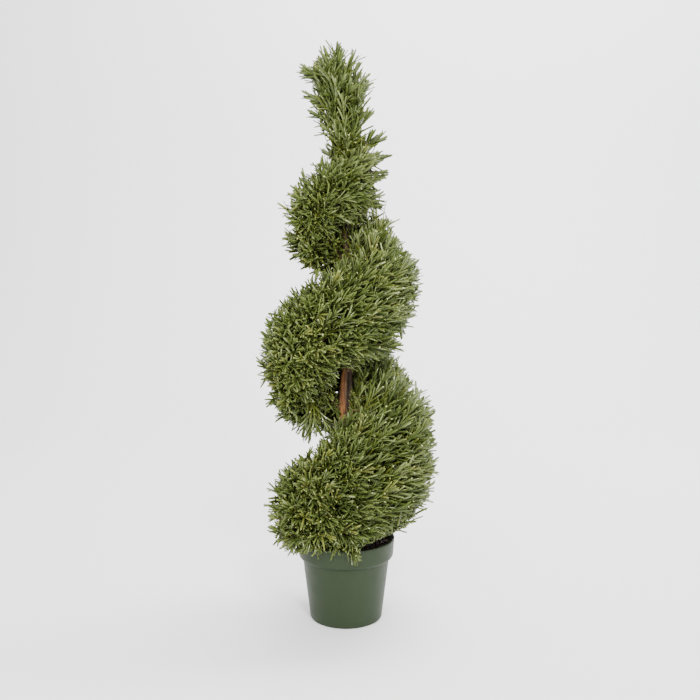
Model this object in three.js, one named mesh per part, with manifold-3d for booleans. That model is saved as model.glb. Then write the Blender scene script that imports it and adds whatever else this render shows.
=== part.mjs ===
// An artificial spiral topiary in a plastic nursery pot: a wavy woody trunk set in a dark filling, a
// coil of foliage that climbs round it in three turns, a leafy tip, and boughs that carry the coil.
// Millimetres, +Z up, the origin at the middle of the pot's underside, the front towards -Y.
import * as THREE from "three";
import { mergeVertices } from "three/addons/utils/BufferGeometryUtils.js";
import Module from "manifold-3d";

const wasm = await Module();
wasm.setup();

// ---- driving dimensions -------------------------------------------------------------------
const GAP = 0.3; // clearance between neighbouring solids

const POT = {
  height: 180,
  mouthRadius: 105.5, // outside of the rim band, at the mouth
  bandFootRadius: 102.5, // outside of the rim band, at its lower edge
  bandHeight: 42,
  shoulderRadius: 94.5, // outside of the wall, just under the rim band
  footRadius: 78.5,
  footRounding: 5,
  wall: 2.4,
  floor: 4,
  lip: 1.2, // rounding of the rim band's edges
  ledge: 4, // step inside, where the rim band widens
  roundingSteps: 4,
  sides: 40,
};

// What the trunk is set in.
const FILL = {
  top: 164,
  edgeDrop: 3, // its top slopes down towards the pot
  edgeWidth: 6,
  sideRoom: 0.9, // the flats of the pot's facets lie inside its true circle
  sides: 32,
};

const TRUNK = {
  groundRadius: 15,
  topRadius: 3,
  flare: 6, // extra radius at the ground
  flareHeight: 30,
  top: 1165,
  wave: 4, // sideways waviness of the stem
  waveLength: 430,
  bowFrom: 1010, // above this height the stem bows over
  bow: -27, // sideways, at its tip
  fluting: 0.08,
  flutes: 3,
  sides: 10,
  rings: 21,
  ringSpread: 1.15, // above 1, the rings stand closer together at the root flare
};

// A turn of 0 is the left of the lowest coil. The coil climbs anticlockwise, seen from above.
const COIL = {
  firstTurn: -0.25,
  lastTurn: 2.75,
  massesPerTurn: 8,
  grooveHeight: 415, // of the groove over the coil, at turn 0
  climb: 382, // of the groove, at turn 0
  climbLoss: 50, // per turn squared
  grooveAtFoot: 80, // height of the open groove at the stem, at turn 0
  grooveAtTip: 36,
  lowest: 182, // the coil starts just over the pot's mouth
  overhang: 32, // how far its start hangs below that, outside the pot's rim
  overhangEnds: 0.4, // the turn by which that has gone
  rimClearance: 2, // sideways, where it hangs over the rim
  undersideLeaves: [0.45, 0.85], // turns over which the underside climbs from the pot to the groove
  widestTurn: 0.4,
  widestReach: 184,
  lastReach: 60,
  reachFall: 1.2, // above 1, the reach shrinks slowly at first
  reachBulge: 0.11, // the tapering outline is a little convex
  firstReachShare: 0.67, // the lowest coil starts narrower
  firstReachRise: 0.7, // below 1, it widens quickly at first
  leftward: 0.04, // the reach is a little longer to the left
  sagAtFoot: 46, // how far the underside hangs lower between stem and edge, left and right
  sagAtTip: 22,
  sagInFront: 0.1, // share of that in front and behind
  droop: 32, // how far the outer edge of the lowest coil droops, at its start
  droopEnds: 0.5, // the turn by which that has gone
  fullness: 0.62, // 1 makes the section an ellipse, and less makes it fuller
  endTaper: 0.12, // turns over which the coil rounds off at each end
  endSize: 0.5, // share of the full section at the very end
  unevenness: 5,
  slices: 4, // in each mass
  arcPoints: 12,
  arcSpread: 1.4, // above 1, its points stand closer together towards the stem
  stemPoints: 4,
};

const TIP = {
  foot: 985,
  footShare: 0.3, // how wide its foot starts, as a share of the neck squared
  neckRadius: 36,
  widest: 1142, // height of its widest place
  radius: 58,
  top: 1219,
  rings: 11,
  sides: 14,
  unevenness: 4,
};

const BOUGHS = {
  firstMass: 6, // the first mass of the coil with an open groove under it
  every: 2,
  length: 62,
  rise: 45, // degrees
  rootRadius: 4.5,
  endRadius: 2.5,
  sides: 8,
  rings: 4,
};

// ---- colours and finishes -----------------------------------------------------------------
const material = (color, roughness) => new THREE.MeshStandardMaterial({ color, roughness, metalness: 0 });
const MATERIALS = {
  pot: material(0x4c5a45, 0.45),
  filling: material(0x2e241c, 0.95),
  bark: material(0x5a3b28, 0.85),
  foliage: material(0x55622f, 0.6),
};

// ---- small helpers ------------------------------------------------------------------------
const { cos, sin, PI, min, max, sign, abs } = Math;
const lerp = THREE.MathUtils.lerp;
const rad = THREE.MathUtils.degToRad;
const clamp01 = (x) => min(max(x, 0), 1);
const smooth = (x) => clamp01(x) ** 2 * (3 - 2 * clamp01(x));
const UP = new THREE.Vector3(0, 0, 1);

// A closed skin over a list of loops, each with the same number of points, and a cap at each end.
function loft(loops) {
  const size = loops[0].length;
  const points = loops.flat();
  const faces = [];
  const next = (j) => (j + 1) % size;
  for (let i = 0; i + 1 < loops.length; i++) {
    for (let j = 0; j < size; j++) {
      const [a, b] = [i * size + j, i * size + next(j)];
      faces.push([a, b, b + size], [a, b + size, a + size]);
    }
  }
  const cap = (start, turned) => {
    const loop = points.slice(start, start + size);
    const middle = loop.reduce((sum, p) => sum.add(p), new THREE.Vector3()).divideScalar(size);
    points.push(middle);
    for (let j = 0; j < size; j++) {
      const [a, b] = [start + j, start + next(j)];
      faces.push(turned ? [b, a, points.length - 1] : [a, b, points.length - 1]);
    }
  };
  cap(0, true);
  cap((loops.length - 1) * size, false);
  const geometry = new THREE.BufferGeometry();
  geometry.setAttribute(
    "position",
    new THREE.Float32BufferAttribute(points.flatMap((p) => p.toArray()), 3),
  );
  geometry.setIndex(faces.flat());
  return geometry;
}

function toSolid(geometry) {
  const bare = geometry.clone();
  bare.deleteAttribute("normal");
  bare.deleteAttribute("uv");
  const merged = mergeVertices(bare, 1e-3);
  return new wasm.Manifold(
    new wasm.Mesh({
      numProp: 3,
      vertProperties: merged.attributes.position.array,
      triVerts: new Uint32Array(merged.index.array),
    }),
  );
}

function toGeometry(solid) {
  const mesh = solid.getMesh();
  const geometry = new THREE.BufferGeometry();
  geometry.setAttribute("position", new THREE.BufferAttribute(mesh.vertProperties, 3));
  geometry.setIndex(new THREE.BufferAttribute(mesh.triVerts, 1));
  return geometry;
}

function named(name, geometry, finish) {
  const mesh = new THREE.Mesh(geometry, finish);
  mesh.name = name;
  return mesh;
}

// ---- pot and filling ----------------------------------------------------------------------
const wallSlope = (POT.shoulderRadius - POT.footRadius) / (POT.height - POT.bandHeight);
const wallRadius = (z) => POT.footRadius + wallSlope * z; // outside, under the rim band
const innerRadius = (z) => wallRadius(z) - POT.wall;

function potGeometry() {
  const bandFoot = POT.height - POT.bandHeight;
  const { lip, ledge, footRounding: round } = POT;
  const profile = [new THREE.Vector2(0, 0)];
  for (let i = 0; i <= POT.roundingSteps; i++) {
    const turn = (i / POT.roundingSteps) * (PI / 2);
    profile.push(
      new THREE.Vector2(POT.footRadius - round + round * sin(turn), round - round * cos(turn)),
    );
  }
  const mouthInside = POT.mouthRadius - POT.wall * 2;
  profile.push(
    new THREE.Vector2(wallRadius(bandFoot), bandFoot),
    new THREE.Vector2(POT.bandFootRadius - lip, bandFoot),
    new THREE.Vector2(POT.bandFootRadius, bandFoot + lip),
    new THREE.Vector2(POT.mouthRadius, POT.height - lip),
    new THREE.Vector2(POT.mouthRadius - lip, POT.height),
    new THREE.Vector2(mouthInside + lip, POT.height),
    new THREE.Vector2(mouthInside, POT.height - lip),
    new THREE.Vector2(innerRadius(bandFoot) + ledge, bandFoot + ledge),
    new THREE.Vector2(innerRadius(bandFoot), bandFoot),
    new THREE.Vector2(innerRadius(POT.floor), POT.floor),
    new THREE.Vector2(0, POT.floor),
  );
  return uprightLathe(profile, POT.sides);
}

function fillGeometry() {
  const bandFoot = POT.height - POT.bandHeight;
  const foot = POT.floor + GAP;
  const radius = innerRadius(bandFoot) - FILL.sideRoom;
  const profile = [
    new THREE.Vector2(0, foot),
    new THREE.Vector2(innerRadius(foot) - FILL.sideRoom, foot),
    new THREE.Vector2(radius, bandFoot),
    new THREE.Vector2(radius, FILL.top - FILL.edgeDrop),
    new THREE.Vector2(radius - FILL.edgeWidth, FILL.top),
    new THREE.Vector2(0, FILL.top),
  ];
  return uprightLathe(profile, FILL.sides);
}

// The room that the coil leaves for the pot, up to a little over its mouth.
function roomOverPot() {
  const radius = POT.mouthRadius + COIL.rimClearance;
  const profile = [
    new THREE.Vector2(0, 0),
    new THREE.Vector2(radius, 0),
    new THREE.Vector2(radius, COIL.lowest),
    new THREE.Vector2(0, COIL.lowest),
  ];
  return uprightLathe(profile, FILL.sides);
}

// LatheGeometry turns its profile about Y, and here the pot's axis is Z.
function uprightLathe(profile, sides) {
  const geometry = new THREE.LatheGeometry(profile, sides);
  geometry.rotateX(PI / 2);
  return geometry;
}

// ---- trunk --------------------------------------------------------------------------------
const trunkFoot = FILL.top + GAP;
const trunkShare = (z) => clamp01((z - trunkFoot) / (TRUNK.top - trunkFoot));

// Where the middle of the stem is at a height: gently wavy, and bowed over near its tip.
function stemAt(z) {
  const waves = ((z - trunkFoot) / TRUNK.waveLength) * 2 * PI;
  const fade = smooth((z - trunkFoot) / TRUNK.waveLength);
  const bow = clamp01((z - TRUNK.bowFrom) / (TRUNK.top - TRUNK.bowFrom)) ** 2;
  return new THREE.Vector3(
    TRUNK.wave * fade * sin(waves) + TRUNK.bow * bow,
    TRUNK.wave * fade * cos(waves * 0.8),
    z,
  );
}

function trunkRadius(z) {
  const flare = TRUNK.flare * (1 - smooth((z - trunkFoot) / TRUNK.flareHeight));
  return lerp(TRUNK.groundRadius, TRUNK.topRadius, trunkShare(z)) + flare;
}

// The radius that foliage round the stem keeps clear of.
const stemRoom = (z) => trunkRadius(z) * (1 + TRUNK.fluting) + 4 * GAP;

function trunkGeometry(extra = 0) {
  const loops = [];
  for (let i = 0; i < TRUNK.rings; i++) {
    const share = (i / (TRUNK.rings - 1)) ** TRUNK.ringSpread;
    const ends = i === 0 ? -extra : i === TRUNK.rings - 1 ? extra : 0;
    const z = lerp(trunkFoot, TRUNK.top, share);
    const middle = stemAt(z);
    const loop = [];
    for (let j = 0; j < TRUNK.sides; j++) {
      const turn = (j / TRUNK.sides) * 2 * PI;
      const flute = 1 + TRUNK.fluting * sin(TRUNK.flutes * turn + z / 90);
      const r = trunkRadius(z) * flute + extra;
      loop.push(new THREE.Vector3(middle.x + r * cos(turn), middle.y + r * sin(turn), z + ends));
    }
    loops.push(loop);
  }
  return loft(loops);
}

// ---- coil of foliage ----------------------------------------------------------------------
const heading = (turn) => PI + turn * 2 * PI;
const grooveMiddle = (turn) => COIL.grooveHeight + COIL.climb * turn - COIL.climbLoss * turn * abs(turn);
const grooveOpening = (turn) => lerp(COIL.grooveAtFoot, COIL.grooveAtTip, clamp01(turn / COIL.lastTurn));

// The heights of the coil's underside and upper side at the stem.
function coilSpan(turn) {
  const [from, to] = COIL.undersideLeaves;
  const open = grooveMiddle(turn - 1) + grooveOpening(turn - 1) / 2;
  const under = lerp(COIL.lowest, max(open, COIL.lowest), smooth((turn - from) / (to - from)));
  return [under, grooveMiddle(turn) - grooveOpening(turn) / 2];
}

function coilReach(turn) {
  const share = clamp01((turn - COIL.widestTurn) / (COIL.lastTurn - COIL.widestTurn));
  const bulge = 1 + COIL.reachBulge * 4 * share * (1 - share);
  const start = (turn - COIL.firstTurn) / (COIL.widestTurn - COIL.firstTurn);
  const narrow = lerp(COIL.firstReachShare, 1, clamp01(start) ** COIL.firstReachRise);
  const aside = 1 - COIL.leftward * cos(heading(turn));
  return lerp(COIL.widestReach, COIL.lastReach, share ** COIL.reachFall) * bulge * narrow * aside;
}

// How much of its full size the section has near the coil's two ends.
function endShare(turn) {
  const from = min(turn - COIL.firstTurn, COIL.lastTurn - turn) / COIL.endTaper;
  return lerp(COIL.endSize, 1, (1 - (1 - clamp01(from)) ** 2) ** 0.5);
}

// A fixed pattern of soft lumps, so that the clipped surface is not a perfect one.
function lumps(turn, arc) {
  const broad = 0.5 * sin(turn * 31 + arc * 3.1);
  const middling = 0.3 * sin(turn * 53 - arc * 5.3 + 1);
  const fine = 0.2 * sin(turn * 87 + arc * 7.7 + 2);
  return broad + middling + fine;
}

// One closed section of the coil, from the underside round to the upper side and back down the stem.
function coilSection(turn, aside, extra) {
  const [under, over] = coilSpan(turn);
  const middle = (under + over) / 2;
  const size = endShare(turn);
  const half = ((over - under) / 2) * size + extra;
  const reach = coilReach(turn) * size + extra;
  const sideways = lerp(COIL.sagInFront, 1, cos(heading(turn)) ** 2);
  const sag = lerp(COIL.sagAtFoot, COIL.sagAtTip, clamp01(turn / COIL.lastTurn)) * size * sideways;
  const lowest = COIL.lowest - COIL.overhang * (1 - smooth(turn / COIL.overhangEnds));
  const droop = COIL.droop * (1 - smooth(turn / COIL.droopEnds));
  const out = new THREE.Vector3(cos(heading(turn)), sin(heading(turn)), 0);
  const along = new THREE.Vector3(-out.y, out.x, 0).multiplyScalar(aside);
  const place = (r, z) => stemAt(z).addScaledVector(out, r).add(along);
  const loop = [];
  for (let i = 0; i <= COIL.arcPoints; i++) {
    const way = (2 * i) / COIL.arcPoints - 1;
    const arc = sign(way) * (1 - (1 - abs(way)) ** COIL.arcSpread) * (PI / 2);
    const fade = cos(arc);
    const lump = COIL.unevenness * fade * lumps(turn, arc);
    const share = max(fade, 0) ** COIL.fullness;
    const hang = sin(arc) < 0 ? sag * 6.75 * share ** 2 * (1 - share) : 0;
    const z = max(middle + (half + lump) * sin(arc) - hang - droop * share ** 2, lowest);
    loop.push(place(lerp(stemRoom(z) - extra, reach, share) + lump, z));
  }
  const top = middle + half;
  const foot = max(middle - half, COIL.lowest);
  for (let i = 1; i < COIL.stemPoints; i++) {
    const z = lerp(top, foot, i / COIL.stemPoints);
    loop.push(place(stemRoom(z) - extra, z));
  }
  return loop;
}

function coilMass(index, extra = 0) {
  const width = 1 / COIL.massesPerTurn;
  const start = COIL.firstTurn + index * width;
  const loops = [];
  for (let i = 0; i <= COIL.slices; i++) {
    // The two end sections step in by half a gap, clear of the next mass.
    const step = GAP / 2 - extra;
    const aside = i === 0 ? step : i === COIL.slices ? -step : 0;
    loops.push(coilSection(start + (i / COIL.slices) * width, aside, extra));
  }
  return loft(loops.reverse()); // the sections run clockwise, seen along the climb
}

const SIDES = ["left", "front_left", "front", "front_right", "right", "back_right", "back", "back_left"];

function massName(index) {
  const eighth = Math.floor((COIL.firstTurn + (index + 0.5) / COIL.massesPerTurn + 1 / 16) * 8 + 1e-6);
  const coil = Math.floor(eighth / 8 + 1e-6) + 1;
  return `coil_${coil}_${SIDES[((eighth % 8) + 8) % 8]}`;
}

// ---- tip ----------------------------------------------------------------------------------
// A loose plume: a narrow neck that widens upwards and closes quickly over its widest place.
function tipRadius(z) {
  if (z < TIP.widest) {
    const share = (z - TIP.foot) / (TIP.widest - TIP.foot);
    const start = clamp01(share * 6 + TIP.footShare) ** 0.5;
    return lerp(TIP.neckRadius, TIP.radius, smooth(share)) * start;
  }
  const over = clamp01((z - TIP.widest) / (TIP.top + GAP - TIP.widest));
  return TIP.radius * (1 - over ** 2) ** 0.7;
}

function tipGeometry() {
  const loops = [];
  for (let i = 0; i < TIP.rings; i++) {
    const share = i / (TIP.rings - 1);
    const z = lerp(TIP.foot, TIP.top, 1 - (1 - share) ** 1.3); // closer together at the top
    const middle = stemAt(min(z, TRUNK.top));
    const loop = [];
    for (let j = 0; j < TIP.sides; j++) {
      const turn = (j / TIP.sides) * 2 * PI;
      const r = tipRadius(z) * (1 + (TIP.unevenness / TIP.radius) * sin(3 * turn + z / 20));
      loop.push(new THREE.Vector3(middle.x + r * cos(turn), middle.y + r * sin(turn), z));
    }
    loops.push(loop);
  }
  return loft(loops);
}

// ---- boughs -------------------------------------------------------------------------------
function boughGeometry(turn, extra = 0) {
  const out = new THREE.Vector3(cos(heading(turn)), sin(heading(turn)), 0);
  const way = out.clone().multiplyScalar(cos(rad(BOUGHS.rise))).addScaledVector(UP, sin(rad(BOUGHS.rise)));
  const side = new THREE.Vector3().crossVectors(UP, way).normalize();
  const over = new THREE.Vector3().crossVectors(way, side);
  const root = stemAt(grooveMiddle(turn - 1));
  const loops = [];
  for (let i = 0; i < BOUGHS.rings; i++) {
    const share = i / (BOUGHS.rings - 1);
    const ends = i === BOUGHS.rings - 1 ? extra : 0;
    const middle = root.clone().addScaledVector(way, share * BOUGHS.length + ends);
    const r = lerp(BOUGHS.rootRadius, BOUGHS.endRadius, share) + extra;
    const loop = [];
    for (let j = 0; j < BOUGHS.sides; j++) {
      const turnAbout = (j / BOUGHS.sides) * 2 * PI;
      loop.push(
        middle.clone().addScaledVector(side, r * cos(turnAbout)).addScaledVector(over, r * sin(turnAbout)),
      );
    }
    loops.push(loop);
  }
  return loft(loops);
}

// ---- assembly -----------------------------------------------------------------------------
const plant = new THREE.Group();
plant.add(named("pot", potGeometry(), MATERIALS.pot));
plant.add(named("filling", fillGeometry(), MATERIALS.filling));
plant.add(named("trunk", trunkGeometry(), MATERIALS.bark));

const trunkRoom = toSolid(trunkGeometry(GAP));
const potRoom = toSolid(roomOverPot());
const massCount = Math.round((COIL.lastTurn - COIL.firstTurn) * COIL.massesPerTurn);
const massMiddle = (index) => COIL.firstTurn + (index + 0.5) / COIL.massesPerTurn;

const boughRooms = [];
for (let index = BOUGHS.firstMass; index < massCount; index += BOUGHS.every) {
  const bough = toSolid(boughGeometry(massMiddle(index))).subtract(trunkRoom);
  boughRooms.push(toSolid(boughGeometry(massMiddle(index), GAP)));
  plant.add(named(`bough_${boughRooms.length}`, toGeometry(bough), MATERIALS.bark));
}

// The largest body of a cut solid, without the crumbs that the cut leaves.
const wholeOf = (solid) => solid.decompose().reduce((a, b) => (b.volume() > a.volume() ? b : a));
const clearOfRest = (geometry) =>
  wholeOf([potRoom, ...boughRooms].reduce((solid, room) => solid.subtract(room), toSolid(geometry)));

for (let index = 0; index < massCount; index++) {
  plant.add(named(massName(index), toGeometry(clearOfRest(coilMass(index))), MATERIALS.foliage));
}

// The tip is cut where the coil's last masses pass under it.
let tip = toSolid(tipGeometry()).subtract(trunkRoom);
for (let index = massCount - COIL.massesPerTurn; index < massCount; index++) {
  tip = tip.subtract(toSolid(coilMass(index, 5 * GAP)));
}
plant.add(named("tip", toGeometry(wholeOf(tip)), MATERIALS.foliage));

export default plant;
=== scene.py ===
# %% [markdown]
# # An artificial spiral topiary in a nursery pot
# The object is about 1.2 m tall: a woody trunk set in a plastic pot, and round it a coil of leafy
# sprays that climbs three turns and ends in a loose plume. The frame that is loaded first holds
# the plain solids of the same object. This file puts the looks on them, step by step: pot,
# filling, bark, twigs, and about thirty-two thousand leaves that grow by one seeded rule.

# %% Load the frame
import math

import bmesh
import bpy
import numpy as np
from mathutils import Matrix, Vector, noise
from mathutils.kdtree import KDTree


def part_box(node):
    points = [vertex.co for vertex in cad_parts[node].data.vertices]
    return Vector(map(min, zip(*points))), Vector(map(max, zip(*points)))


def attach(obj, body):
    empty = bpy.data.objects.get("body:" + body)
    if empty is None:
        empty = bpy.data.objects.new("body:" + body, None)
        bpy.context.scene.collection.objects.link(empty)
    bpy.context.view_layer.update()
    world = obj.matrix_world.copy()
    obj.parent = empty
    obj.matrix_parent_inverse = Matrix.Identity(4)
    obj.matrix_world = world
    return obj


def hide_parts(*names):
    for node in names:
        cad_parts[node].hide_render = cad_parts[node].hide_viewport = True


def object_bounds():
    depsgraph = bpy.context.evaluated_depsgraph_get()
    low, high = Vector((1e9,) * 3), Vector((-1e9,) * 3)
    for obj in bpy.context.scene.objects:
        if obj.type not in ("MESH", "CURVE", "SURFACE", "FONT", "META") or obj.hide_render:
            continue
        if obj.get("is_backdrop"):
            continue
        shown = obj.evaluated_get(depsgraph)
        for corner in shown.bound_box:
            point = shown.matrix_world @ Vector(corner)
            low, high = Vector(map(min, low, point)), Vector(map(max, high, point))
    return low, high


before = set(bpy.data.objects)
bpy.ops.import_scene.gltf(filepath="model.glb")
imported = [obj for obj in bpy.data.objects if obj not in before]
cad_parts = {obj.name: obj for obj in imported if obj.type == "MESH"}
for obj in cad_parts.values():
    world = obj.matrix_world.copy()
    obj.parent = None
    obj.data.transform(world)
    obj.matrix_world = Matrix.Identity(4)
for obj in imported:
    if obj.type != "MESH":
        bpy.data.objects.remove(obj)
frame_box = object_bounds()
print("frame box in metres:", [round(c, 4) for corner in frame_box for c in corner])

# %% [markdown]
# ## Camera
# A product shot is taken from a little over the middle of the object, with the camera tilted down
# a few degrees, so that the pot's mouth shows as a thin ellipse. A 49 mm lens two metres away
# keeps the verticals almost parallel.

# %% Place the camera
bpy.ops.object.camera_add(location=(0.0087, -2.0, 0.84), rotation=(math.radians(82.81), 0, 0))
camera = bpy.context.object
camera.name = "camera"
camera.data.lens = 48.8
bpy.context.scene.camera = camera
print("camera at", tuple(round(c, 3) for c in camera.location), "lens", camera.data.lens)

# %% [markdown]
# ## Working in edit mode from a script
# An operator acts on whatever is selected, so two habits keep a script safe: leave edit mode and
# deselect everything before a new piece, and select faces or edges by where they are. These
# helpers are those habits.


# %% Selection helpers
def clear_selection():
    """Leaves edit mode and deselects every object."""
    active = bpy.context.view_layer.objects.active
    if active and active.mode != "OBJECT":
        bpy.ops.object.mode_set(mode="OBJECT")
    bpy.ops.object.select_all(action="DESELECT")


def edit(piece):
    """Makes one piece the only selected one and enters edit mode."""
    clear_selection()
    piece.select_set(True)
    bpy.context.view_layer.objects.active = piece
    bpy.ops.object.mode_set(mode="EDIT")


def pick(kind, test):
    """Selects the 'verts', 'edges' or 'faces' whose middle passes a test, and no others."""
    mesh = bpy.context.object.data
    cage = bmesh.from_edit_mesh(mesh)
    cage.select_mode = {kind[:-1].upper()}
    bpy.context.tool_settings.mesh_select_mode = [kind == k for k in ("verts", "edges", "faces")]
    for item in (*cage.verts, *cage.edges, *cage.faces):
        item.select = False
    chosen = 0
    for item in getattr(cage, kind):
        if kind == "verts":
            middle = item.co
        elif kind == "edges":
            middle = (item.verts[0].co + item.verts[1].co) / 2
        else:
            middle = item.calc_center_median()
        if test(middle):
            item.select_set(True)
            chosen += 1
    cage.select_flush_mode()
    bmesh.update_edit_mesh(mesh)
    return chosen


def finish_shape(piece, name, smooth_angle=None):
    """Leaves edit mode, names the piece and puts its place into its mesh."""
    clear_selection()
    piece.select_set(True)
    bpy.context.view_layer.objects.active = piece
    bpy.ops.object.transform_apply(location=True, rotation=True, scale=True)
    if smooth_angle is not None:
        bpy.ops.object.shade_smooth_by_angle(angle=math.radians(smooth_angle))
    piece.name = piece.data.name = name
    print(name, "has", len(piece.data.polygons), "faces")
    return piece


print("selection helpers ready")

# %% [markdown]
# ## Shader maths as Python expressions
# A material is a tree of small nodes. Written out by hand, one sum takes four lines, so a value
# that comes out of a node is wrapped in a class that knows the signs: `1 - mask * 0.3` then adds
# the Math nodes itself. Every other node comes from one method, `node`.


# %% Wrap a socket
class Wire:
    """A value in a material. Arithmetic on it adds Math nodes."""

    def __init__(self, finish, socket):
        self.finish = finish
        self.socket = socket

    def maths(self, operation, *values, clamp=False):
        settings = {"operation": operation, "use_clamp": clamp}
        return self.finish.node("ShaderNodeMath", settings, dict(enumerate(values)))

    def __add__(self, other):
        return self.maths("ADD", self, other)

    def __sub__(self, other):
        return self.maths("SUBTRACT", self, other)

    def __mul__(self, other):
        return self.maths("MULTIPLY", self, other)

    def __rsub__(self, other):
        return self.maths("SUBTRACT", other, self)

    def clamped(self):
        """The same value, kept between 0 and 1."""
        return self.maths("ADD", self, 0.0, clamp=True)


# %% Make materials
class Finish:
    """A material under construction: its node tree and its Principled shader."""

    def __init__(self, name, colour, roughness, **plain):
        self.material = bpy.data.materials.new(name)
        self.material.use_nodes = True
        self.tree = self.material.node_tree
        self.shader = self.tree.nodes["Principled BSDF"]
        self.material.diffuse_color = (*colour, 1.0)
        self.set("Base Color", (*colour, 1.0))
        self.set("Roughness", roughness)
        for socket, value in plain.items():
            self.set(socket.replace("_", " "), value)

    def node(self, kind, settings=None, values=None, output=0):
        """Adds a node: first its settings, then the values or links of its sockets."""
        made = self.tree.nodes.new(kind)
        for key, value in (settings or {}).items():
            setattr(made, key, value)
        for key, value in (values or {}).items():
            self.feed(made.inputs[key], value)
        return Wire(self, made.outputs[output])

    def feed(self, socket, value):
        """Links a wire to a socket, or sets a plain value on it."""
        if isinstance(value, Wire):
            self.tree.links.new(value.socket, socket)
        else:
            socket.default_value = value

    def set(self, socket, value):
        """Feeds a socket of the shader, by its name."""
        self.feed(self.shader.inputs[socket], value)

    def noise(self, scale, detail=3.0, stretch=(1, 1, 1), roughness=0.55):
        """A cloudy pattern on Object coordinates, stretched by a Mapping node."""
        where = self.node("ShaderNodeTexCoord", output="Object")
        place = self.node("ShaderNodeMapping", None, {"Vector": where, "Scale": stretch})
        values = {"Vector": place, "Scale": scale, "Detail": detail, "Roughness": roughness}
        return self.node("ShaderNodeTexNoise", None, values, output="Fac")

    def blend(self, share, low, high):
        """A colour between two, by a share from 0 to 1."""
        settings = {"data_type": "RGBA", "clamp_factor": True}
        low, high = ((*end, 1.0) if isinstance(end, tuple) else end for end in (low, high))
        return self.node("ShaderNodeMix", settings, {0: share, 6: low, 7: high}, output=2)

    def relief(self, height, strength, distance):
        """Bumps on the surface, from a height pattern."""
        values = {"Height": height, "Strength": strength, "Distance": distance}
        self.set("Normal", self.node("ShaderNodeBump", None, values))

    def mottle(self, scale, spread, least):
        """Makes the roughness change from place to place, and returns the finish."""
        self.set("Roughness", self.noise(scale) * spread + least)
        return self


def srgb(red, green, blue):
    """A colour as a paint chart gives it, 0 to 255, made linear for the shader."""
    return tuple(((c / 255 + 0.055) / 1.055) ** 2.4 for c in (red, green, blue))


print("shader helpers ready")

# %% [markdown]
# ## Studio
# The plant stands in front of a paper sweep: a floor that curves up into a wall, so that no line
# shows behind the pot. A small lamp in front at the right gives the light its direction, and a
# wide one in front at the left softens it. A third lamp is aimed at the wall, and a pale sky
# fills the shadows. The paper's grey wanders by a fiftieth at most.

# %% Paper sweep
clear_selection()
bpy.ops.mesh.primitive_plane_add(size=10, location=(0, -1.6, 0))
sweep = bpy.context.object
edit(sweep)
pick("edges", lambda middle: middle.y > 3.4)
bpy.ops.mesh.extrude_region_move(TRANSFORM_OT_translate={"value": (0, 0, 4)})
pick("edges", lambda middle: middle.y > 3.4 and abs(middle.z) < 0.01)
bpy.ops.mesh.bevel(offset=1.5, segments=24, affect="EDGES")
finish_shape(sweep, "paper_sweep", smooth_angle=40)
paper = Finish("paper", srgb(231, 231, 231), 0.9)
grey = paper.noise(1.3, detail=2.0) * 0.02 + 0.848
paper.set("Base Color", paper.node("ShaderNodeCombineColor", None, {0: grey, 1: grey, 2: grey}))
sweep.data.materials.append(paper.material)
sweep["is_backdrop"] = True


# %% Lamps and sky
def softbox(name, place, aim, size, power):
    """A rectangular lamp that shines from its place to a point it is aimed at."""
    bpy.ops.object.light_add(type="AREA", location=place)
    lamp = bpy.context.object
    lamp.name = name
    lamp.rotation_euler = (Vector(aim) - Vector(place)).to_track_quat("-Z", "Y").to_euler()
    lamp.data.shape = "RECTANGLE"
    lamp.data.size, lamp.data.size_y = size
    lamp.data.energy = power


softbox("key_lamp", (0.62, -2.5, 2.4), (0, 0, 0.6), (0.5, 0.5), 103)
softbox("front_lamp", (-0.9, -2.6, 2.0), (0, 0, 0.6), (1.4, 1.0), 61)
softbox("wall_lamp", (1.0, 0.7, 3.6), (0.9, 3.2, 0.9), (3.0, 1.4), 316)
sky = bpy.data.worlds.new("studio_sky")
sky.use_nodes = True
sky.node_tree.nodes["Background"].inputs["Color"].default_value = (1, 1, 1, 1)
sky.node_tree.nodes["Background"].inputs["Strength"].default_value = 1.40
bpy.context.scene.world = sky

# %% [markdown]
# ## The pot
# A nursery pot is blow-moulded plastic: a tapering wall, a wide band round the mouth, and soft
# corners everywhere. It is a turned shape, so it starts as a circle. The circle is extruded up
# the outside, over the lip and down the inside, and each new ring is scaled to its radius. Every
# corner is a short arc of rings, which is what catches the light on the real one.


# %% Extrude one ring after another
def corner(centre_r, centre_z, radius, start, end, steps=4):
    """Points (radius, height) on a rounded corner, by angle in degrees."""
    angles = np.radians(np.linspace(start, end, steps + 1))
    return [(centre_r + radius * math.cos(a), centre_z + radius * math.sin(a)) for a in angles]


def extrude_rings(sides, centres, radii):
    """Extrudes a ring to one centre after another, scaled to the radius at each."""
    clear_selection()
    bpy.ops.mesh.primitive_circle_add(
        vertices=sides, radius=radii[0], fill_type="NGON", location=tuple(centres[0])
    )
    shape = bpy.context.object
    edit(shape)
    bpy.ops.mesh.select_all(action="SELECT")
    bpy.ops.mesh.flip_normals()
    bpy.ops.mesh.region_to_loop()
    for i in range(1, len(radii)):
        move = {"value": tuple(centres[i] - centres[i - 1])}
        bpy.ops.mesh.extrude_edges_move(TRANSFORM_OT_translate=move)
        share = radii[i] / radii[i - 1]
        bpy.ops.transform.resize(value=(share, share, 1), center_override=tuple(centres[i]))
    return shape


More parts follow.
